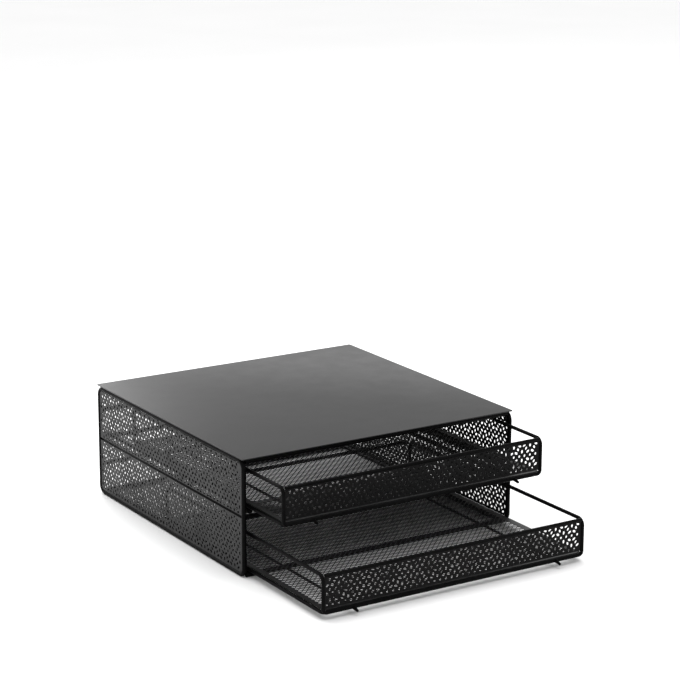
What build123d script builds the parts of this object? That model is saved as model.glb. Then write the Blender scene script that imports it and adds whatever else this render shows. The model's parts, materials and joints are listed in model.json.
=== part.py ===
from build123d import *

import math
import os

# A two-tier drawer stand for coffee pods: a wire and perforated-sheet housing with a flat top plate,
# and two equal drawers that slide out of its front, shown partly open.
#
# Sizes are in millimetres. +Z is up, the drawers open toward -Y, and +X is to the right
# of someone who stands in front. The origin is on the table, in the middle of the housing.

# ---- the housing ----
housing_width = 338.0
housing_depth = 330.0
plate_thickness = 1.2
frame_rod = 5.0  # diameter of the side loops and of the cross rods
side_bend = 12.0  # bend radius of the side loops, to the middle of the rod
cross_rod_inset = 4.0  # from the housing's edge to the middle of a top or bottom cross rod
mid_gap = 4.0  # height of the gap between a side's two sheets
mid_rail = 5.0  # diameter of the rod behind that gap
mid_rail_drop = 1.0  # how far that rod lies below the gap's middle, so that it fills the gap seen from above
sheet_thickness = 0.8
side_sheet_offset = 1.1  # the side sheets lie this far outside the middle of the side loops
weld_gap = 0.05  # left between welded pieces, so that no two solids overlap
rod_sides = 12  # every rod and wire is drawn with this many flat sides, to keep the model light
bend_steps = 4  # and every bend with this many straight turns

# ---- one drawer ----
drawer_height = 42.5
drawer_wire = 4.0
rim_bend = 6.0  # plan bend radius of the bottom rim, to the middle of the wire
side_wire_bend = 7.0  # bend radius of the side wires, to the middle of the wire
front_slit = 2.5  # open slit between the bottom rim and the front sheet
floor_drop = 0.4  # how far the floor's underside lies below the top of the bottom rim
stay_wire = 3.0
stay_spacing = 249.0  # between the two stays under the floor, and between the two stubs
stub_length = 8.0
stub_base = 3.6  # across the stub's flat sides, at its root and at its tip
stub_tip = 2.0
stub_slope = 23.0  # degrees down from the horizontal

# ---- how the drawers sit in the housing ----
drawer_side_gap = 3.0  # between a drawer and the side loops
running_gap = 0.25  # between a drawer's bottom rim and the runners that it slides on
stop_gap = 0.3  # between a closed drawer and the rear rod that stops it
front_overhang = 1.3  # how far a closed drawer stands out of the housing's front
lower_headroom = 15.25  # between the lower drawer and the mid rods above it
upper_headroom = 5.95  # between the upper drawer and the top rods
lower_stop_rise = 29.45  # middle of the rear rod that stops the lower drawer, above the drawer's base
upper_stop_rise = 24.7  # the same for the upper drawer
lower_opening = 139.0  # how far each drawer is pulled out where it is shown
upper_opening = 64.0

# ---- the perforation, drawn larger than the real one's small petals ----
hole_lean = 28.0  # the upright holes lean this far, left and right by turns
side_hole_length = 15.0
side_hole_width = 8.0
side_hole_pitch = 15.0
side_hole_rows = 3
front_hole_length = 9.0
front_hole_width = 6.0
front_hole_pitch = 12.5
front_hole_rows = 3
floor_hole_length = 20.0
floor_hole_width = 32.0
floor_hole_pitch = 45.0
floor_hole_rows = 9
sheet_border = 3.0  # plain metal around a perforated field

rod_radius = frame_rod / 2
wire_radius = drawer_wire / 2
loop_x = housing_width / 2 - rod_radius
loop_y = housing_depth / 2 - rod_radius
inner_loop_y = loop_y - rod_radius
cross_rod_y = housing_depth / 2 - cross_rod_inset
drawer_width = 2 * (loop_x - rod_radius - drawer_side_gap)
drawer_depth = housing_depth / 2 + front_overhang + inner_loop_y - stop_gap
closed_front_y = -housing_depth / 2 - front_overhang

# heights, stacked from the table up
lower_drawer_base = frame_rod + running_gap
rear_low_height = lower_drawer_base + lower_stop_rise
mid_height = lower_drawer_base + drawer_height + lower_headroom + rod_radius
upper_runner_height = mid_height + frame_rod + weld_gap
upper_drawer_base = upper_runner_height + rod_radius + running_gap
rear_high_height = upper_drawer_base + upper_stop_rise
top_rod_height = upper_drawer_base + drawer_height + upper_headroom + rod_radius
plate_underside = top_rod_height + rod_radius + weld_gap


def rod(start, end, diameter):
    """A straight rod between two points."""
    line = Vector(*end) - Vector(*start)
    section = Plane(origin=start, z_dir=line) * RegularPolygon(diameter / 2, rod_sides)
    return extrude(section, amount=line.length)


def bend_points(before, corner, after, bend):
    """Where a rod turns in a right-angled bend, so that its straight steps touch the bend's arc."""
    back = (before - corner).normalized()
    onward = (after - corner).normalized()
    middle = corner + (back + onward) * bend
    reach = bend / math.cos(math.pi / 4 / bend_steps)
    points = []
    for step in range(bend_steps):
        turn = math.pi / 2 * (step + 0.5) / bend_steps
        points.append(middle - (onward * math.cos(turn) + back * math.sin(turn)) * reach)
    return points


def swept_rod(points, diameter):
    """A rod along straight steps, with its first end square to the first step."""
    path = Polyline(*points)
    start = Plane(origin=path @ 0, z_dir=path % 0)
    return sweep(start * RegularPolygon(diameter / 2, rod_sides), path=path, transition=Transition.RIGHT)


def open_rod(corners, bend, diameter):
    """A rod bent at every corner between its two ends."""
    corners = [Vector(*corner) for corner in corners]
    points = [corners[0]]
    for i in range(1, len(corners) - 1):
        points += bend_points(corners[i - 1], corners[i], corners[i + 1], bend)
    points.append(corners[-1])
    return swept_rod(points, diameter)


def rod_loop(corners, bend, diameter):
    """A rod bent at every corner and closed on itself, in the middle of its last run."""
    corners = [Vector(*corner) for corner in corners]
    seam = (corners[-1] + corners[0]) / 2
    points = [seam]
    for i in range(len(corners)):
        points += bend_points(corners[i - 1], corners[i], corners[(i + 1) % len(corners)], bend)
    points.append(seam)
    return swept_rod(points, diameter)


def lozenge(u, v, length, width, lean):
    """A four-cornered hole around a point of the sheet, leaning by so many degrees from the upright."""
    lean = math.radians(lean)
    along = (math.sin(lean) * length / 2, math.cos(lean) * length / 2)
    across = (math.cos(lean) * width / 2, -math.sin(lean) * width / 2)
    return [
        (u + along[0], v + along[1]),
        (u + across[0], v + across[1]),
        (u - along[0], v - along[1]),
        (u - across[0], v - across[1]),
    ]


def lozenge_rows(width, height, pitch, rows, length, hole_width, lean):
    """Staggered rows of holes that fill a field up to its border, leaning left and right by turns."""
    room = width - 2 * sheet_border - hole_width
    columns = 1 + max(1, math.floor(room / pitch))
    row_pitch = (height - 2 * sheet_border - length) / max(1, rows - 1)
    holes = []
    for row in range(rows):
        v = (row - (rows - 1) / 2) * row_pitch
        count = columns - row % 2
        for column in range(count):
            u = (column - (count - 1) / 2) * pitch
            side = 1 if (row + column) % 2 == 0 else -1
            holes.append(lozenge(u, v, length, hole_width, side * lean))
    return holes


def perforated_sheet(middle, u_dir, normal, outline, holes):
    """A flat sheet around its middle point, with its holes cut from its outline in one step."""
    plane = Plane(origin=middle, x_dir=u_dir, z_dir=normal)
    cuts = [make_face(Polyline(*hole, close=True)) for hole in holes]
    blank = outline - cuts
    return extrude(plane * blank, amount=sheet_thickness / 2, both=True)


def save(shape, node):
    export_step(shape, f"parts/{node}.step")


def side_loop(side):
    """One side's frame: a rod bent into a closed rectangle with round corners."""
    x = side * loop_x
    corners = [
        (x, -loop_y, rod_radius),
        (x, -loop_y, top_rod_height),
        (x, loop_y, top_rod_height),
        (x, loop_y, rod_radius),
    ]
    return rod_loop(corners, side_bend, frame_rod)


def side_sheet(side, low, high, round_end):
    """A perforated sheet between the rods of a side loop, with two corners rounded to fit the loop's bends."""
    x = side * (loop_x + side_sheet_offset)
    width = 2 * (inner_loop_y - weld_gap)
    height = high - low
    holes = lozenge_rows(
        width, height, side_hole_pitch, side_hole_rows, side_hole_length, side_hole_width, hole_lean
    )
    outline = Rectangle(width, height)
    rounded = outline.vertices().group_by(Axis.Y)[round_end]
    outline = fillet(rounded, side_bend - rod_radius - weld_gap)
    return perforated_sheet((x, 0, (low + high) / 2), (0, 1, 0), (1, 0, 0), outline, holes)


def mid_side_rail(side):
    """The rod behind the gap between a side's two sheets."""
    inner_face = loop_x + side_sheet_offset - sheet_thickness / 2
    x = side * (inner_face - weld_gap - mid_rail / 2)
    end = inner_loop_y - weld_gap
    z = mid_height - mid_rail_drop
    return rod((x, -end, z), (x, end, z), mid_rail)


def cross_rod(y, height):
    """A straight rod from one side loop to the other."""
    end = loop_x - rod_radius - weld_gap
    return rod((-end, y, height), (end, y, height), frame_rod)


def top_plate():
    """The flat plate that lies on the top rods."""
    corner = (-housing_width / 2, -housing_depth / 2, plate_underside)
    return Solid.make_box(housing_width, housing_depth, plate_thickness, Plane(origin=corner))


def runner(side, end, height):
    """One of the rods that a drawer's bottom rim slides on."""
    x = side * (drawer_width / 2 - wire_radius)
    return rod((x, -end, height), (x, end, height), frame_rod)


def bottom_rim(front, base):
    """The closed wire around a drawer's floor."""
    x = drawer_width / 2 - wire_radius
    near = front + wire_radius
    far = front + drawer_depth - wire_radius
    z = base + wire_radius
    corners = [(-x, near, z), (-x, far, z), (x, far, z), (x, near, z)]
    return rod_loop(corners, rim_bend, drawer_wire)


def side_wire(side, front, base):
    """An upside-down U over one open side of a drawer, standing on the bottom rim."""
    x = side * (drawer_width / 2 - wire_radius)
    near = front + wire_radius
    far = front + drawer_depth - wire_radius
    foot = base + drawer_wire + weld_gap
    top = base + drawer_height - wire_radius
    corners = [(x, near, foot), (x, near, top), (x, far, top), (x, far, foot)]
    return open_rod(corners, side_wire_bend, drawer_wire)


def end_wire(y, base):
    """The top wire across the front or the rear of a drawer, between the side wires' bends."""
    reach = drawer_width / 2 - drawer_wire - weld_gap
    z = base + drawer_height - wire_radius
    return rod((-reach, y, z), (reach, y, z), drawer_wire)


def front_sheet(front, base):
    """The perforated sheet across a drawer's front, above the slit."""
    width = drawer_width - 2 * drawer_wire - 2 * weld_gap
    low = base + drawer_wire + front_slit
    high = base + drawer_height - drawer_wire - weld_gap
    height = high - low
    holes = lozenge_rows(
        width, height, front_hole_pitch, front_hole_rows, front_hole_length, front_hole_width, hole_lean
    )
    middle = (0, front + wire_radius, (low + high) / 2)
    return perforated_sheet(middle, (1, 0, 0), (0, -1, 0), Rectangle(width, height), holes)


def floor_sheet(front, base):
    """The mesh that the pods stand on, seated just inside the bottom rim's top."""
    rise = wire_radius - floor_drop
    tube_half = math.sqrt(wire_radius**2 - rise**2)
    margin = wire_radius + tube_half + weld_gap
    width = drawer_width - 2 * margin
    depth = drawer_depth - 2 * margin
    holes = lozenge_rows(
        width, depth, floor_hole_pitch, floor_hole_rows, floor_hole_length, floor_hole_width, lean=0
    )
    z = base + drawer_wire - floor_drop + sheet_thickness / 2
    middle = (0, front + drawer_depth / 2, z)
    outline = RectangleRounded(width, depth, rim_bend)
    return perforated_sheet(middle, (1, 0, 0), (0, 0, 1), outline, holes)


def stay(side, front, base):
    """A straight wire under the floor, from the front of the bottom rim to its rear."""
    x = side * stay_spacing / 2
    z = base + drawer_wire - floor_drop - weld_gap - stay_wire / 2
    start = front + drawer_wire + weld_gap
    end = front + drawer_depth - drawer_wire - weld_gap
    return rod((x, start, z), (x, end, z), stay_wire)


def stub(side, front, base):
    """A short four-sided nose that leans forward and down from the front of the bottom rim."""
    lean = math.radians(stub_slope)
    direction = Vector(0, -math.cos(lean), -math.sin(lean))
    across = Vector(1, 0, 0)
    upright = across.cross(direction)
    rim_middle = Vector(side * stay_spacing / 2, front + wire_radius, base + wire_radius)
    root = rim_middle + direction * (wire_radius + weld_gap)
    corner = root - (across + upright) * stub_base / 2
    low = (stub_base - stub_tip) / 2
    high = (stub_base + stub_tip) / 2
    plane = Plane(origin=corner, x_dir=across, z_dir=upright)
    return Solid.make_wedge(stub_base, stub_length, stub_base, low, low, high, high, plane)


def save_housing():
    save(top_plate(), "top_plate")
    lower_top = mid_height - mid_gap / 2
    upper_bottom = mid_height + mid_gap / 2
    lower_bottom = frame_rod + weld_gap
    upper_top = top_rod_height - rod_radius - weld_gap
    runner_end_low = cross_rod_y - rod_radius - weld_gap
    for side, name in ((-1, "left"), (1, "right")):
        save(side_loop(side), f"{name}_side_loop")
        save(mid_side_rail(side), f"{name}_mid_rail")
        save(side_sheet(side, lower_bottom, lower_top, 0), f"{name}_lower_sheet")
        save(side_sheet(side, upper_bottom, upper_top, -1), f"{name}_upper_sheet")
        save(runner(side, runner_end_low, rod_radius), f"lower_{name}_runner")
        save(runner(side, loop_y, upper_runner_height), f"upper_{name}_runner")
    save(cross_rod(-cross_rod_y, top_rod_height), "front_top_rod")
    save(cross_rod(-loop_y, mid_height), "front_mid_rod")
    save(cross_rod(-cross_rod_y, rod_radius), "front_bottom_rod")
    save(cross_rod(cross_rod_y, top_rod_height), "rear_top_rod")
    save(cross_rod(loop_y, rear_high_height), "rear_high_rod")
    save(cross_rod(loop_y, mid_height), "rear_mid_rod")
    save(cross_rod(loop_y, rear_low_height), "rear_low_rod")
    save(cross_rod(cross_rod_y, rod_radius), "rear_bottom_rod")


def save_drawer(tier, opening, base):
    front = closed_front_y - opening
    save(bottom_rim(front, base), f"{tier}_bottom_rim")
    save(floor_sheet(front, base), f"{tier}_floor")
    save(front_sheet(front, base), f"{tier}_front_sheet")
    save(end_wire(front + wire_radius, base), f"{tier}_front_top_wire")
    save(end_wire(front + drawer_depth - wire_radius, base), f"{tier}_rear_top_wire")
    for side, name in ((-1, "left"), (1, "right")):
        save(side_wire(side, front, base), f"{tier}_{name}_side_wire")
        save(stay(side, front, base), f"{tier}_{name}_stay")
        save(stub(side, front, base), f"{tier}_{name}_stub")


os.makedirs("parts", exist_ok=True)
save_housing()
save_drawer("lower", lower_opening, lower_drawer_base)
save_drawer("upper", upper_opening, upper_drawer_base)
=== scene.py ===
# %% [markdown]
# # A coffee pod drawer with two tiers
# The real object is bent steel rod and wire, with perforated sheets welded in and a flat plate on top.
# Everything is coated in satin black. Two drawers slide out of the front, and both stand partly open.
# The construction model is loaded first as a fixed frame. The pieces below could be fitted by eye, but
# each is a finer version of one of its nodes, so the frame gives its place and its moving body exactly.

# %% Load the frame
import json
import math

import bmesh
import bpy
from mathutils import Matrix, Vector

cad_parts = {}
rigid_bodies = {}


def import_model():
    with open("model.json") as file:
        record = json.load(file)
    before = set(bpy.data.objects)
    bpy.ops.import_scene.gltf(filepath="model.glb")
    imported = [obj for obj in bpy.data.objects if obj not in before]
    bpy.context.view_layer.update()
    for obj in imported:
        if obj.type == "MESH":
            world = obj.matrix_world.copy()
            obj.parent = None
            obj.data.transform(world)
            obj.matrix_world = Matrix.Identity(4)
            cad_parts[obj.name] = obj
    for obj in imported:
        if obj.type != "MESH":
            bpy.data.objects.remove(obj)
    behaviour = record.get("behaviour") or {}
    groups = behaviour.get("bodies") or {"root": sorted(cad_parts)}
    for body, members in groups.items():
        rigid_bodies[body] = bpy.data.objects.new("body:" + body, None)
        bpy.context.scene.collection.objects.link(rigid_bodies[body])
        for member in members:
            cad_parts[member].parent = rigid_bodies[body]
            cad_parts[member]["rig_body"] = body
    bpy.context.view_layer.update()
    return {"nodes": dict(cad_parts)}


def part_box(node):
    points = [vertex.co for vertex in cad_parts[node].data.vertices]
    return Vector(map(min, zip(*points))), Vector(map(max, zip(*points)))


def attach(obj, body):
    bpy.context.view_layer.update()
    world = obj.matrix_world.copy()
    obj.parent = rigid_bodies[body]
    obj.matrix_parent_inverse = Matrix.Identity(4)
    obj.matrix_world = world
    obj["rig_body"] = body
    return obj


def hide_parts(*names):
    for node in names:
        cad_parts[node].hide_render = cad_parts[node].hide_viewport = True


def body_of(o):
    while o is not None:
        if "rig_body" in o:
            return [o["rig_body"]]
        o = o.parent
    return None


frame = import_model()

# %% [markdown]
# ## Sizes that the pieces share
# A node's box says where a piece lies and how long it is, so only what a box can't tell is named here:
# how thick the rods are, how tightly they are bent, and how finely the round shapes are divided.
# A bend is measured to the middle of its rod. Blender works in metres, so a millimetre is written
# once and used as a unit.

# %% Shared sizes
mm = 0.001
frame_rod = 5.0 * mm
drawer_wire = 4.0 * mm
side_bend = 8.0 * mm
rim_bend = 6.0 * mm
side_wire_bend = 7.0 * mm
foot_bend = 4.0 * mm
round_sides = 20
bend_steps = 8
along_x = Vector((1, 0, 0))
along_y = Vector((0, 1, 0))
along_z = Vector((0, 0, 1))


def middle_and_size(node):
    """The middle of a node's box and its size along each axis."""
    low, high = (Vector(corner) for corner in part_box(node))
    return (low + high) / 2, high - low


print("the top plate is", middle_and_size("top_plate")[1])

# %% [markdown]
# ## Turning a bmesh into a piece
# Every piece ends the same way: doubles are merged, the normals are made to point outwards, and the
# mesh gets smooth shading except across sharp edges. An object could be moved to its place, but here
# it stays at the origin and its place is in its mesh, so that a pattern in its material stays put.
# It then stands for a node of the construction model and rides on that node's body.

# %% The last step of every piece
merge_distance = 0.001 * mm
rod_angle = 40.0
black_pieces = []


def finish_piece(bm, name, node, sharp_angle=rod_angle):
    """A finished object from a bmesh, in the place of a construction node."""
    bmesh.ops.remove_doubles(bm, verts=bm.verts[:], dist=merge_distance)
    bmesh.ops.recalc_face_normals(bm, faces=bm.faces[:])
    mesh = bpy.data.meshes.new(name)
    bm.to_mesh(mesh)
    bm.free()
    mesh.shade_smooth()
    mesh.set_sharp_from_angle(angle=math.radians(sharp_angle))
    piece = bpy.data.objects.new(name, mesh)
    bpy.context.scene.collection.objects.link(piece)
    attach(piece, body_of(frame["nodes"][node])[0])
    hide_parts(node)
    black_pieces.append(piece)
    return piece


print("a rod stays sharp where its faces meet at more than", rod_angle, "degrees")

# %% [markdown]
# ## Drawing out and softening
# Straight rods, the plate and the sheets all start as a flat shape that gets a length or a thickness.
# A Solidify modifier could do that for a sheet. One extrusion that keeps the first faces does it for
# all of them, in any direction, and leaves a closed solid. No edge of a coated rod or plate is
# knife-sharp, so a small bevel then rounds it off.

# %% Draw out and soften


def draw_out(bm, shift):
    """Moves a copy of a flat bmesh's faces by a shift, with walls between the two."""
    grown = bmesh.ops.extrude_face_region(bm, geom=bm.faces[:], use_keep_orig=True)
    moved = [part for part in grown["geom"] if isinstance(part, bmesh.types.BMVert)]
    bmesh.ops.translate(bm, verts=moved, vec=shift)


def soften(bm, parts, offset, segments, affect="EDGES"):
    """Rounds off edges, or the corner points of a flat outline."""
    bmesh.ops.bevel(
        bm, geom=parts, offset=offset, offset_type="OFFSET", segments=segments,
        profile=0.5, affect=affect, material=-1,
    )


print("two helpers: draw_out makes a flat shape solid, soften rounds off its edges")

# %% [markdown]
# ## Straight rods
# Rods cross the housing at the front and the rear, and carry the drawers at the sides. Each could be a
# plain cylinder, but a cut rod has softer ends than that. Here one end starts as a filled circle, the
# disc is drawn out along the rod, and the rims of both ends are bevelled a little. The node's box
# gives the rod's direction, its length and its thickness.

# %% Draw the cross rods
rim_softness = 0.12


def straight_rod(node):
    """A round rod with softened ends in the place of a straight node."""
    middle, size = middle_and_size(node)
    direction = along_x if size.x > size.y else along_y
    length = size.dot(direction)
    radius = size.z / 2
    to_rod = direction.to_track_quat("Z", "Y").to_matrix().to_4x4()
    place = Matrix.Translation(middle - direction * length / 2) @ to_rod
    bm = bmesh.new()
    bmesh.ops.create_circle(bm, cap_ends=True, segments=round_sides, radius=radius, matrix=place)
    draw_out(bm, direction * length)
    # only the discs at the two ends have more than four corners
    rims = [edge for edge in bm.edges if any(len(face.verts) > 4 for face in edge.link_faces)]
    soften(bm, rims, rim_softness * radius, segments=2)
    finish_piece(bm, f"{node}_round", node)


cross_rods = [f"front_{place}_rod" for place in ("top", "mid", "bottom")]
cross_rods += [f"rear_{place}_rod" for place in ("top", "high", "mid", "low", "bottom")]
for node in cross_rods:
    straight_rod(node)
print(len(cross_rods), "cross rods")

# %% Draw the rails, the runners and the drawers' straight wires
long_rods = ["left_mid_rail", "right_mid_rail"]
long_rods += [f"{tier}_{side}_runner" for tier in ("lower", "upper") for side in ("left", "right")]
long_rods += [f"{tier}_{end}_top_wire" for tier in ("lower", "upper") for end in ("front", "rear")]
long_rods += [f"{tier}_{side}_stay" for tier in ("lower", "upper") for side in ("left", "right")]
for node in long_rods:
    straight_rod(node)
print(len(long_rods), "rails, runners and straight wires")

# %% [markdown]
# ## Bent rods
# A wire bender feeds a rod straight, turns it round a former, and feeds it on. The same two steps are
# made here: an extrusion for each straight run, and a spin about the former's middle for each bend.
# A curve with a round bevel would do as well, but the spin keeps the rings square to the rod.

# %% Feed and bend


def bent_rod(start, heading, moves, radius, closed):
    """A bmesh of a rod that begins at a point and heads one way.

    Each move is a straight run, then a right-angle turn about an axis at a bend radius.
    The last move has no axis, so it is a straight run only.
    """
    bm = bmesh.new()
    first_axis = moves[0][1]
    square = Matrix((first_axis.cross(heading), first_axis, heading)).transposed().to_4x4()
    bmesh.ops.create_circle(
        bm, cap_ends=not closed, segments=round_sides, radius=radius,
        matrix=Matrix.Translation(start) @ square,
    )
    ring = bm.edges[:]
    point = start.copy()
    for run, axis, bend in moves:
        grown = bmesh.ops.extrude_edge_only(bm, edges=ring)["geom"]
        moved = [part for part in grown if isinstance(part, bmesh.types.BMVert)]
        bmesh.ops.translate(bm, verts=moved, vec=heading * run)
        edges = [part for part in grown if isinstance(part, bmesh.types.BMEdge)]
        ring = [edge for edge in edges if set(edge.verts) <= set(moved)]
        point += heading * run
        if axis is None:
            continue
        inward = axis.cross(heading)
        former = point + inward * bend
        turned = bmesh.ops.spin(
            bm, geom=ring, cent=former, axis=axis, angle=math.pi / 2, steps=bend_steps,
        )["geom_last"]
        ring = [part for part in turned if isinstance(part, bmesh.types.BMEdge)]
        point = former + heading * bend
        heading = inward
    if not closed:
        bmesh.ops.contextual_create(bm, geom=ring)
    return bm


def closed_loop(start, heading, axis, half_run, rise, bend, radius):
    """A rod bent into a rectangle, from the middle of one run round to the same place."""
    corners = [(run, axis, bend) for run in (half_run, rise, 2 * half_run, rise)]
    return bent_rod(start, heading, corners + [(half_run, None, 0.0)], radius, closed=True)


print("a right-angle bend has", bend_steps, "steps")

# %% [markdown]
# ## The frame's side loops and the drawers' wires
# Each side of the housing is one rod bent into a closed rectangle. Each drawer has a closed rim around
# its floor and an upside-down U over each open side. A loop could start at a corner, but here it starts
# in the middle of a run, so that its seam lies on a straight stretch, where merging the doubles closes
# it. The feet of a U turn in sideways and are welded along the rim, which gives the drawer's front its
# rounded lower corners.

# %% Bend the side loops
for side in ("left", "right"):
    middle, size = middle_and_size(f"{side}_side_loop")
    half_run = size.y / 2 - frame_rod / 2 - side_bend
    rise = size.z - frame_rod - 2 * side_bend
    start = middle - along_z * (size.z - frame_rod) / 2
    loop = closed_loop(start, along_y, along_x, half_run, rise, side_bend, frame_rod / 2)
    finish_piece(loop, f"{side}_side_loop_round", f"{side}_side_loop")
print("a side loop's upright run is", rise, "m")

# %% Bend the drawers' rims
for tier in ("lower", "upper"):
    middle, size = middle_and_size(f"{tier}_bottom_rim")
    half_run = size.x / 2 - drawer_wire / 2 - rim_bend
    long_run = size.y - drawer_wire - 2 * rim_bend
    start = middle - along_y * (size.y - drawer_wire) / 2
    rim = closed_loop(start, along_x, along_z, half_run, long_run, rim_bend, drawer_wire / 2)
    finish_piece(rim, f"{tier}_bottom_rim_round", f"{tier}_bottom_rim")
print("a rim's long run is", long_run, "m")

# %% Bend the U over each open side
toe = 1.0 * mm

for tier in ("lower", "upper"):
    rim_height = middle_and_size(f"{tier}_bottom_rim")[0].z
    for side, outward in (("left", -1), ("right", 1)):
        middle, size = middle_and_size(f"{tier}_{side}_side_wire")
        leg = middle.z + size.z / 2 - drawer_wire / 2 - side_wire_bend - foot_bend - rim_height
        span = size.y - drawer_wire - 2 * side_wire_bend
        moves = [
            (toe, -outward * along_y, foot_bend),
            (leg, along_x, side_wire_bend),
            (span, along_x, side_wire_bend),
            (leg, outward * along_y, foot_bend),
            (toe, None, 0.0),
        ]
        rear = middle.y + size.y / 2 - drawer_wire / 2
        start = Vector((middle.x - outward * (foot_bend + toe), rear, rim_height))
        wire = bent_rod(start, outward * along_x, moves, drawer_wire / 2, closed=False)
        finish_piece(wire, f"{tier}_{side}_side_wire_round", f"{tier}_{side}_side_wire")
print("a side wire's leg is", leg, "m")

# %% [markdown]
# ## The stubs under the drawer fronts
# Where a wire under the floor passes the rim, its end is drawn out to a small blunt nose that points
# forward and down. The nose could be spun from a profile, but a cone without its point needs only two
# radii, and a bevel rounds off its tip. The construction model's nose is four-sided and steeper, and
# it only tells where this one starts.

# %% Draw out the stubs
plain_stub_length = 8.0 * mm
plain_stub_slope = math.radians(23.0)
stub_length = 7.2 * mm
stub_slope = math.radians(12.0)
stub_base = 3.8 * mm
stub_tip = 2.7 * mm
stub_tip_round = 0.8 * mm
stub_sides = 16
stub_angle = 60.0
near_tip = 0.9 * stub_length


def forward_and_down(slope):
    """The direction out of the drawer's front that sinks at a slope."""
    return Vector((0, -math.cos(slope), -math.sin(slope)))


for tier in ("lower", "upper"):
    for side in ("left", "right"):
        middle, size = middle_and_size(f"{tier}_{side}_stub")
        root = middle - forward_and_down(plain_stub_slope) * plain_stub_length / 2
        to_stub = forward_and_down(stub_slope).to_track_quat("Z", "Y").to_matrix().to_4x4()
        place = Matrix.Translation(root) @ to_stub
        bm = bmesh.new()
        bmesh.ops.create_cone(
            bm, cap_ends=True, segments=stub_sides, radius1=stub_base / 2, radius2=stub_tip / 2,
            depth=stub_length, matrix=place @ Matrix.Translation((0, 0, stub_length / 2)),
        )
        tip = {vert for vert in bm.verts if (vert.co - root).length > near_tip}
        tip_rim = [edge for edge in bm.edges if set(edge.verts) <= tip]
        soften(bm, tip_rim, stub_tip_round, segments=4)
        finish_piece(bm, f"{tier}_{side}_stub_round", f"{tier}_{side}_stub", stub_angle)
print("stubs of", stub_length, "m")

# %% [markdown]
# ## The top plate
# The plate is cut from thin sheet. Its edge is almost square, and shows as a darker line between the
# plate and the rod below it. A scaled cube would give the outline, but not the corners. So the plate is
# a grid of one square that is drawn out by the sheet's thickness. Its upright edges are rounded first,
# and then the rims of its two faces get a bevel about as wide as the coat is thick.

# %% Cut the top plate
plate_corner = 1.5 * mm
plate_edge = 0.15 * mm
sheet_angle = 30.0

middle, size = middle_and_size("top_plate")
flat = Matrix.Translation(middle - along_z * size.z / 2) @ Matrix.Diagonal((size.x, size.y, 1, 1))
bm = bmesh.new()
bmesh.ops.create_grid(bm, x_segments=1, y_segments=1, size=0.5, matrix=flat)
draw_out(bm, along_z * size.z)
uprights = [edge for edge in bm.edges if abs(edge.verts[0].co.z - edge.verts[1].co.z) > size.z / 2]
soften(bm, uprights, plate_corner, segments=5)
rims = [edge for edge in bm.edges if abs(edge.verts[0].co.z - edge.verts[1].co.z) < size.z / 2]
soften(bm, rims, plate_edge, segments=3)
finish_piece(bm, "top_plate_rounded", "top_plate", sheet_angle)
print("top plate", size)

# %% [markdown]
# ## The petal pattern
# The side sheets and the drawer fronts are punched with small leaning petals and dots that together
# look like rows of flowers. Two dots and two petals stand around a flower's empty middle, and four
# longer petals point outward past them. Two more petals lie between a flower and the next row, and a
# dot lies between it and its neighbour. The holes could be placed one by one, but one flower that is
# repeated in staggered rows follows the way such a sheet is punched. The real pattern runs on under
# the rods, so it is cut off at the border of a sheet and isn't fitted to it.

# %% One flower and how far apart the flowers stand
flower_pitch = 21.2 * mm
flower_row_pitch = 15.7 * mm
flower = [
    # across, up, length, width of each hole, measured from the flower's middle
    (-3.4 * mm, 0.0, 3.0 * mm, 2.7 * mm),
    (3.4 * mm, 0.0, 3.0 * mm, 2.7 * mm),
    (0.0, 4.8 * mm, 4.3 * mm, 2.8 * mm),
    (0.0, -4.8 * mm, 4.3 * mm, 2.8 * mm),
    (-7.6 * mm, 4.2 * mm, 4.7 * mm, 2.7 * mm),
    (7.6 * mm, 4.2 * mm, 4.7 * mm, 2.7 * mm),
    (-7.6 * mm, -4.2 * mm, 4.7 * mm, 2.7 * mm),
    (7.6 * mm, -4.2 * mm, 4.7 * mm, 2.7 * mm),
    (-5.3 * mm, 7.85 * mm, 3.9 * mm, 2.6 * mm),
    (5.3 * mm, 7.85 * mm, 3.9 * mm, 2.6 * mm),
    (10.6 * mm, 0.0, 2.8 * mm, 2.6 * mm),
]
print("a flower has", len(flower), "holes")

# %% Repeat the flower over a sheet
sheet_border = 0.9 * mm
nearest_hole = 0.5 * mm  # from the border to the middle of a hole
front_shift = (7.4 * mm, 2.9 * mm)
side_shift = (3.0 * mm, 1.5 * mm)


def petal_field(width, height, shift_across, shift_up, plain_corner):
    """The holes of a sheet as (across, up, length, width, lean), in staggered rows of flowers."""
    rows = math.ceil(height / flower_row_pitch) + 1
    columns = math.ceil(width / flower_pitch) + 1
    last_u = width / 2 - sheet_border - nearest_hole
    last_v = height / 2 - sheet_border - nearest_hole
    inside = []
    for row in range(-rows, rows + 1):
        for column in range(-columns, columns + 1):
            middle_u = (column + 0.5 * (row % 2)) * flower_pitch + shift_across
            middle_v = row * flower_row_pitch + shift_up
            for across, rise, length, hole_width in flower:
                lean = -math.atan2(across, rise) if across and rise else 0.0
                u = middle_u + across
                v = middle_v + rise
                in_corner = abs(u) > width / 2 - plain_corner and abs(v) > height / 2 - plain_corner
                if abs(u) < last_u and abs(v) < last_v and not in_corner:
                    inside.append((u, v, length, hole_width, lean))
    return inside


front_size = middle_and_size("lower_front_sheet")[1]
front_holes = petal_field(front_size.x, front_size.z, *front_shift, 0.0)
print(len(front_holes), "holes in a drawer front")

# %% [markdown]
# ## Punching the sheets
# The sheets are thin steel with all these holes in it. One way is to cut every hole with a Boolean,
# which is slow and leaves rough faces. Here the outline and all the holes are drawn as flat rings of
# edges first. One triangle fill then makes the sheet with its holes open, and it is drawn out by the
# sheet's thickness. A hole that would cross the border keeps only its inner part.

# %% Punch one sheet
hole_sides = 8
touching = 0.01 * mm


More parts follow.
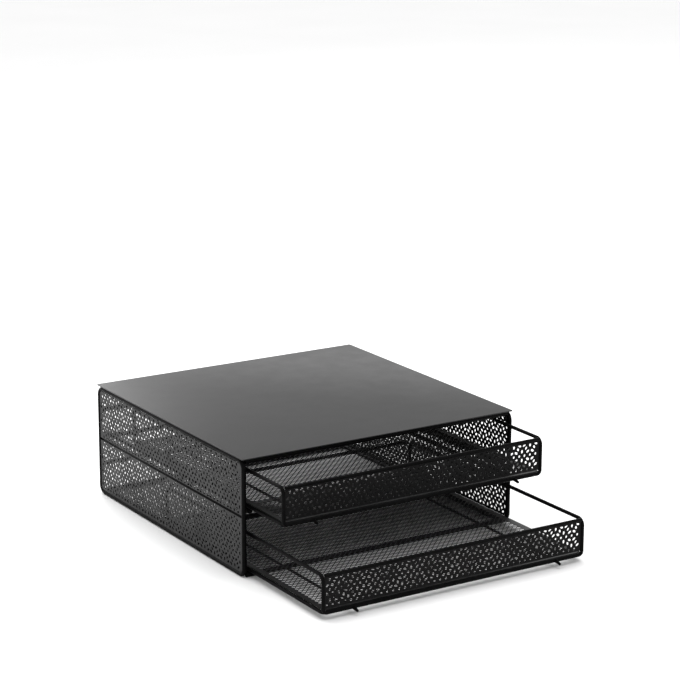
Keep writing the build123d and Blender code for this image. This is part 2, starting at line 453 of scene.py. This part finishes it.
def punched_sheet(node, middle, size, holes, thickness_axis, corner, rounded_end):
    """A sheet with its holes open, as thin as its box is along the thickness axis.

    The corners at its upper end (1) or its lower end (-1) are rounded, or none of them (0).
    """
    if thickness_axis == "X":
        width, height, thickness = size.y, size.z, size.x
        turn = Matrix(((0, 0, 1), (1, 0, 0), (0, 1, 0))).to_4x4()
    else:
        width, height, thickness = size.x, size.z, size.y
        turn = Matrix(((1, 0, 0), (0, 0, -1), (0, 1, 0))).to_4x4()
    bm = bmesh.new()
    outline = Matrix.Diagonal((width, height, 1, 1))
    bmesh.ops.create_grid(bm, x_segments=1, y_segments=1, size=0.5, matrix=outline)
    rounded = [vert for vert in bm.verts if vert.co.y * rounded_end > 0]
    if rounded:
        soften(bm, rounded, corner, segments=6, affect="VERTICES")
    bmesh.ops.delete(bm, geom=bm.faces[:], context="FACES_ONLY")
    last_u = width / 2 - sheet_border
    last_v = height / 2 - sheet_border
    for u, v, length, hole_width, lean in holes:
        place = Matrix.Translation((u, v, 0)) @ Matrix.Rotation(lean, 4, "Z")
        ring = bmesh.ops.create_circle(
            bm, cap_ends=False, segments=hole_sides, radius=0.5,
            matrix=place @ Matrix.Diagonal((hole_width, length, 1, 1)),
        )["verts"]
        for vert in ring:
            vert.co.x = max(-last_u, min(last_u, vert.co.x))
            vert.co.y = max(-last_v, min(last_v, vert.co.y))
    bmesh.ops.remove_doubles(bm, verts=bm.verts[:], dist=touching)
    bmesh.ops.triangle_fill(bm, use_beauty=True, use_dissolve=False, edges=bm.edges[:])
    draw_out(bm, along_z * thickness)
    to_place = Matrix.Translation(middle) @ turn @ Matrix.Translation((0, 0, -thickness / 2))
    bmesh.ops.transform(bm, matrix=to_place, verts=bm.verts[:])
    return finish_piece(bm, f"{node}_punched", node, sheet_angle)


print("a hole has", hole_sides, "sides")

# %% [markdown]
# ## The side sheets and the drawer fronts
# Each side has a lower and an upper sheet, rounded at the corners where the loop is bent, and each
# drawer has one plain rectangle across its front. A gap is left between the two sheets of a side. They
# could have just the construction model's sizes, but on the real object that gap is narrower, so both
# sheets reach a little further into it.

# %% Punch the side sheets and the drawer fronts
sheets = []
sheet_corner = side_bend - frame_rod / 2
gap_cover = 0.6 * mm

for side in ("left", "right"):
    for level, rounded_end in (("lower", -1), ("upper", 1)):
        node = f"{side}_{level}_sheet"
        middle, size = middle_and_size(node)
        size.z += gap_cover
        middle.z -= rounded_end * gap_cover / 2
        holes = petal_field(size.y, size.z, *side_shift, sheet_corner)
        sheets.append(punched_sheet(node, middle, size, holes, "X", sheet_corner, rounded_end))
for tier in ("lower", "upper"):
    node = f"{tier}_front_sheet"
    middle, size = middle_and_size(node)
    holes = petal_field(size.x, size.z, *front_shift, 0.0)
    sheets.append(punched_sheet(node, middle, size, holes, "Y", 0.0, 0))
for sheet in sheets:
    print(sheet.name, len(sheet.data.polygons), "faces")

# %% [markdown]
# ## The mesh floors
# Each drawer has a floor of fine diamond mesh with a plain border. A Wireframe modifier could make the
# mesh, but it would open the border as well. So the floor starts as a grid of squares turned by 45
# degrees, and eight cuts trim it to its outline. Every square that isn't near the edge is inset, and
# the inner faces are taken away. What is left is the web and the border, drawn out to the thickness.

# %% Trim a grid to the floor's outline
mesh_pitch = 4.5 * mm


def trimmed_grid(size):
    """A grid of squares turned by 45 degrees and cut to a floor's outline."""
    cells = math.ceil((size.x + size.y) / math.sqrt(2) / mesh_pitch) + 2
    bm = bmesh.new()
    bmesh.ops.create_grid(
        bm, x_segments=cells, y_segments=cells, size=cells * mesh_pitch / 2,
        matrix=Matrix.Rotation(math.pi / 4, 4, "Z"),
    )
    # the slanted cuts start this far from a corner, and so stay inside the rim's bend
    corner = rim_bend * (2 - math.sqrt(2))
    across_corner = (size.x + size.y) / 2 / math.sqrt(2) - corner / math.sqrt(2)
    slant = Vector((1, 1, 0)).normalized()
    cuts = [(along_x, size.x / 2), (along_y, size.y / 2)]
    cuts += [(slant, across_corner), (Vector((slant.x, -slant.y, 0)), across_corner)]
    for normal, reach in cuts:
        for sign in (1, -1):
            bmesh.ops.bisect_plane(
                bm, geom=bm.verts[:] + bm.edges[:] + bm.faces[:], dist=touching,
                plane_co=normal * reach * sign, plane_no=normal * sign, clear_outer=True,
            )
    return bm


print("the mesh has a hole every", mesh_pitch, "m")

# %% Open the squares
mesh_web = 0.6 * mm
plain_border = 6.0 * mm
almost_whole = 0.9 * mesh_pitch**2


def open_squares(bm, size):
    """Takes the middle out of every whole square inside the border, and counts them."""
    half_width = size.x / 2 - plain_border
    half_depth = size.y / 2 - plain_border
    whole = []
    for face in bm.faces:
        spot = face.calc_center_median()
        inside = abs(spot.x) < half_width and abs(spot.y) < half_depth
        if inside and face.calc_area() > almost_whole:
            whole.append(face)
    bmesh.ops.inset_individual(bm, faces=whole, thickness=mesh_web / 2, use_even_offset=True)
    bmesh.ops.delete(bm, geom=whole, context="FACES_ONLY")
    return len(whole)


print("a hole is", mesh_pitch - mesh_web, "m wide")

# %% Make the floors
for tier in ("lower", "upper"):
    node = f"{tier}_floor"
    middle, size = middle_and_size(node)
    bm = trimmed_grid(size)
    hole_count = open_squares(bm, size)
    draw_out(bm, along_z * size.z)
    bmesh.ops.translate(bm, verts=bm.verts[:], vec=middle - along_z * size.z / 2)
    floor_piece = finish_piece(bm, f"{node}_mesh", node, sheet_angle)
    sheets.append(floor_piece)
    print(floor_piece.name, hole_count, "holes,", len(floor_piece.data.polygons), "faces")

# %% [markdown]
# ## Shader sums in plain Python
# A coat's shade and gloss are sums of a few patterns. Each sum could be wired up node by node, but a
# node tree is easier to read as a formula. So a small class holds a shader socket, and its operators
# add the Math nodes. A second class holds a material, and adds every other kind of node to it.

# %% A socket that can be used in sums


class Field:
    """An output socket, such as a number or a colour that changes over a surface."""

    def __init__(self, finish, socket):
        self.finish = finish
        self.socket = socket

    def result_of(self, operation, first, second):
        """A Math node on two fields or numbers, as a field."""
        made = self.finish.node("ShaderNodeMath", {"operation": operation}, {0: first, 1: second})
        return Field(self.finish, made.outputs[0])

    def __add__(self, other):
        return self.result_of("ADD", self, other)

    def __radd__(self, other):
        return self.result_of("ADD", other, self)

    def __mul__(self, other):
        return self.result_of("MULTIPLY", self, other)

    def __rmul__(self, other):
        return self.result_of("MULTIPLY", other, self)


print("fields can be added and multiplied, also with a number on the left")

# %% A material and its nodes


class Finish:
    """One material and the nodes that are added to it."""

    def __init__(self, name):
        self.material = bpy.data.materials.new(name)
        self.material.use_nodes = True
        self.tree = self.material.node_tree
        self.tree.nodes.clear()

    def node(self, kind, settings=None, inputs=None):
        """Adds a node, first its settings and then the values or links of its sockets."""
        made = self.tree.nodes.new(kind)
        for key, value in (settings or {}).items():
            if key == "stops":
                for element, (position, level) in zip(made.color_ramp.elements, value):
                    element.position = position
                    element.color = (level, level, level, 1.0)
            else:
                setattr(made, key, value)
        for key, value in (inputs or {}).items():
            if isinstance(value, Field):
                self.tree.links.new(value.socket, made.inputs[key])
            else:
                made.inputs[key].default_value = value
        return made

    def place(self):
        """The place on the object that a pattern reads."""
        return Field(self, self.node("ShaderNodeTexCoord").outputs["Object"])

    def noise(self, place, scale, detail):
        """A cloudy field between about 0.3 and 0.7 at so many lumps per metre."""
        made = self.node(
            "ShaderNodeTexNoise", {"noise_dimensions": "3D"},
            {"Vector": place, "Scale": scale, "Detail": detail},
        )
        return Field(self, made.outputs[0])

    def ramp(self, field, low, high):
        """0 where the field is under low, 1 where it is over high."""
        stops = [(low, 0.0), (high, 1.0)]
        made = self.node("ShaderNodeValToRGB", {"stops": stops}, {0: field})
        return Field(self, made.outputs[0])

    def mixed(self, share, first, second):
        """The first colour where the share is 0, the second where it is 1."""
        made = self.node("ShaderNodeMix", {"data_type": "RGBA"}, {0: share, 6: first, 7: second})
        return Field(self, made.outputs[2])

    def surface(self, inputs):
        """Puts a Principled shader on the material."""
        shader = self.node("ShaderNodeBsdfPrincipled", None, inputs)
        self.node("ShaderNodeOutputMaterial", None, {"Surface": Field(self, shader.outputs[0])})


print("a finish can make patterns, masks, mixed colours and its surface")

# %% [markdown]
# ## The black coat
# All the steel is powder coated. One flat black would be quicker, but such a coat is a little cloudy,
# its gloss changes from place to place, it has a fine orange-peel surface, and a few specks of dust lie
# on it. The wires, the drawer fronts, the sheets and the plate get the same coat with other numbers:
# the plate is the smoothest and the most glossy, and the wires are the deepest black. The drawer fronts
# get a copy of the sheets' coat that is darker and less glossy. That is painted shade, since the fronts
# face away from the lamps.
# All patterns use Object coordinates in metres, so they have their real size on every piece.

# %% The patterns in the coat
# lumps per metre
cloud_scale = 14.0
patch_scale = 45.0
dust_scale = 900.0
grain_scale = 2600.0
# where a noise starts to count, and where it counts fully
soft_edges = (0.35, 0.65)
only_peaks = (0.68, 0.76)
# how much of each pattern the coat shows
cloud_share = 0.6
patch_share = 0.4
dust_cover = 0.10
dust_roughness = 0.2
grain_roughness = 0.06
grain_height = 0.15
# a black that is a little blue, and a dust that is a little brown
blue_in_dark = 1.04
blue_in_light = 1.02
dust_colour = (0.22, 0.21, 0.20, 1.0)
print("clouds of", 1 / cloud_scale, "m and grains of", 1 / grain_scale, "m")

# %% Mix the coat


def black_coat(name, dark, light, smooth, rough, peel_size, peel_height, gloss):
    """A satin black coat between two shades and two roughness values, with orange peel."""
    finish = Finish(name)
    place = finish.place()
    clouds = finish.ramp(finish.noise(place, cloud_scale, detail=4.0), *soft_edges)
    patches = finish.ramp(finish.noise(place, patch_scale, detail=3.0), *soft_edges)
    grain = finish.noise(place, grain_scale, detail=1.0)
    dust = finish.ramp(finish.noise(place, dust_scale, detail=2.0), *only_peaks)
    coat = finish.mixed(
        clouds * cloud_share + patches * patch_share,
        (dark, dark, dark * blue_in_dark, 1.0), (light, light, light * blue_in_light, 1.0),
    )
    dusted = finish.mixed(dust * dust_cover, coat, dust_colour)
    roughness = smooth + patches * (rough - smooth) + grain * grain_roughness + dust * dust_roughness
    peel = finish.noise(place, 1.0 / peel_size, detail=2.0) + grain * grain_height
    bump = finish.node(
        "ShaderNodeBump", None, {"Height": peel, "Distance": peel_height, "Strength": 1.0}
    )
    finish.surface({
        "Base Color": dusted,
        "Roughness": roughness,
        "Normal": Field(finish, bump.outputs[0]),
        "Specular IOR Level": gloss,
    })
    return finish.material


wire_finish = black_coat(
    "black_wire_coat", dark=0.001, light=0.003, smooth=0.28, rough=0.40,
    peel_size=1.1 * mm, peel_height=0.02 * mm, gloss=0.03,
)
# painted shade: the fronts get the sheets' coat made darker and less glossy, for the shade they lie in
front_painted_shade_finish = black_coat(
    "black_front_coat_painted_shade", dark=0.001, light=0.003, smooth=0.34, rough=0.46,
    peel_size=0.9 * mm, peel_height=0.03 * mm, gloss=0.08,
)
sheet_finish = black_coat(
    "black_sheet_coat", dark=0.004, light=0.008, smooth=0.34, rough=0.46,
    peel_size=0.9 * mm, peel_height=0.03 * mm, gloss=0.215,
)
plate_finish = black_coat(
    "black_plate_coat", dark=0.005, light=0.008, smooth=0.28, rough=0.32,
    peel_size=1.3 * mm, peel_height=0.02 * mm, gloss=0.28,
)
print(len(plate_finish.node_tree.nodes), "nodes in a coat")

# %% Coat every piece
for piece in black_pieces:
    piece.data.materials.clear()
    if piece.name == "top_plate_rounded":
        piece.data.materials.append(plate_finish)
    elif piece in sheets:
        # the drawer fronts get the darker copy of the sheet coat, which is painted shade
        piece.data.materials.append(front_painted_shade_finish if "front_sheet" in piece.name else sheet_finish)
    else:
        piece.data.materials.append(wire_finish)
print(len(black_pieces), "pieces coated")

# %% [markdown]
# ## The floor
# The stand is shown on a plain pale floor that runs into a white background. A curved backdrop would do
# the same, but only from the front. A very large flat square works from all sides, and a faint mottle
# keeps it from being one dead tone.

# %% Lay the floor
floor_reach = 6.0
mottle_scale = 3.0
pale_low = (0.89, 0.89, 0.89, 1.0)
pale_high = (0.93, 0.93, 0.93, 1.0)

bm = bmesh.new()
bmesh.ops.create_grid(bm, x_segments=1, y_segments=1, size=floor_reach)
mesh = bpy.data.meshes.new("floor")
bm.to_mesh(mesh)
bm.free()
ground = bpy.data.objects.new("floor", mesh)
bpy.context.scene.collection.objects.link(ground)
pale = Finish("pale_floor")
mottle = pale.noise(pale.place(), mottle_scale, detail=2.0)
pale.surface({"Base Color": pale.mixed(mottle, pale_low, pale_high), "Roughness": 0.6})
ground.data.materials.append(pale.material)
print("a floor of", 2 * floor_reach, "m")

# %% [markdown]
# ## The light
# Small hard lamps would draw bright dots on a satin coat, so all the light is soft. A white surrounding
# fills the shadows. One large lamp behind the stand is mirrored in the plate, and a wide one overhead
# whitens the floor, which the dark sheets mirror in turn.

# %% Hang the lamps
surrounding_strength = 1.03

world = bpy.data.worlds.new("soft_white")
world.use_nodes = True
world.node_tree.nodes["Background"].inputs["Color"].default_value = (1.0, 1.0, 1.0, 1.0)
world.node_tree.nodes["Background"].inputs["Strength"].default_value = surrounding_strength
bpy.context.scene.world = world
bpy.context.scene.view_settings.view_transform = "Standard"


def soft_lamp(name, place, target, size, power):
    """A square area lamp that looks at a point."""
    lamp = bpy.data.lights.new(name, "AREA")
    lamp.shape = "SQUARE"
    lamp.size = size
    lamp.energy = power
    holder = bpy.data.objects.new(name, lamp)
    holder.location = place
    holder.rotation_euler = (Vector(target) - Vector(place)).to_track_quat("-Z", "Y").to_euler()
    bpy.context.scene.collection.objects.link(holder)


soft_lamp("back_window", place=(-0.1, 2.8, 1.3), target=(0, 0, 0.1), size=1.8, power=50.0)
soft_lamp("ceiling", place=(0.2, 0.2, 2.4), target=(0, 0, 0), size=2.0, power=40.0)
print("lamps:", [lamp.name for lamp in bpy.data.lights])

# %% [markdown]
# ## The camera
# The camera stands where the photograph was taken: in front and to the left, a little above the plate,
# with a long lens, so that the edges run almost parallel. It could be set by eye, but its numbers were
# fitted to the photograph, mostly to the object's straight edges, so the two can be laid on each other.

# %% Stand the camera
azimuth = math.radians(-32.311)
elevation = math.radians(14.654)
roll = math.radians(0.217)
camera_place = Vector((-1247.35, -2052.76, 821.2)) * mm

back = Vector((
    math.sin(azimuth) * math.cos(elevation), -math.cos(azimuth) * math.cos(elevation),
    math.sin(elevation),
))
right = (-back).cross(along_z).normalized()
up = right.cross(-back)
rolled_right = math.cos(roll) * right + math.sin(roll) * up
rolled_up = math.cos(roll) * up - math.sin(roll) * right
turned = Matrix((rolled_right, rolled_up, back)).transposed().to_4x4()
camera_data = bpy.data.cameras.new("camera")
camera_data.sensor_width = 36.0
camera_data.lens = 119.6
camera = bpy.data.objects.new("camera", camera_data)
camera.matrix_world = Matrix.Translation(camera_place) @ turned
bpy.context.scene.collection.objects.link(camera)
bpy.context.scene.camera = camera
print("camera at", camera.matrix_world.translation)
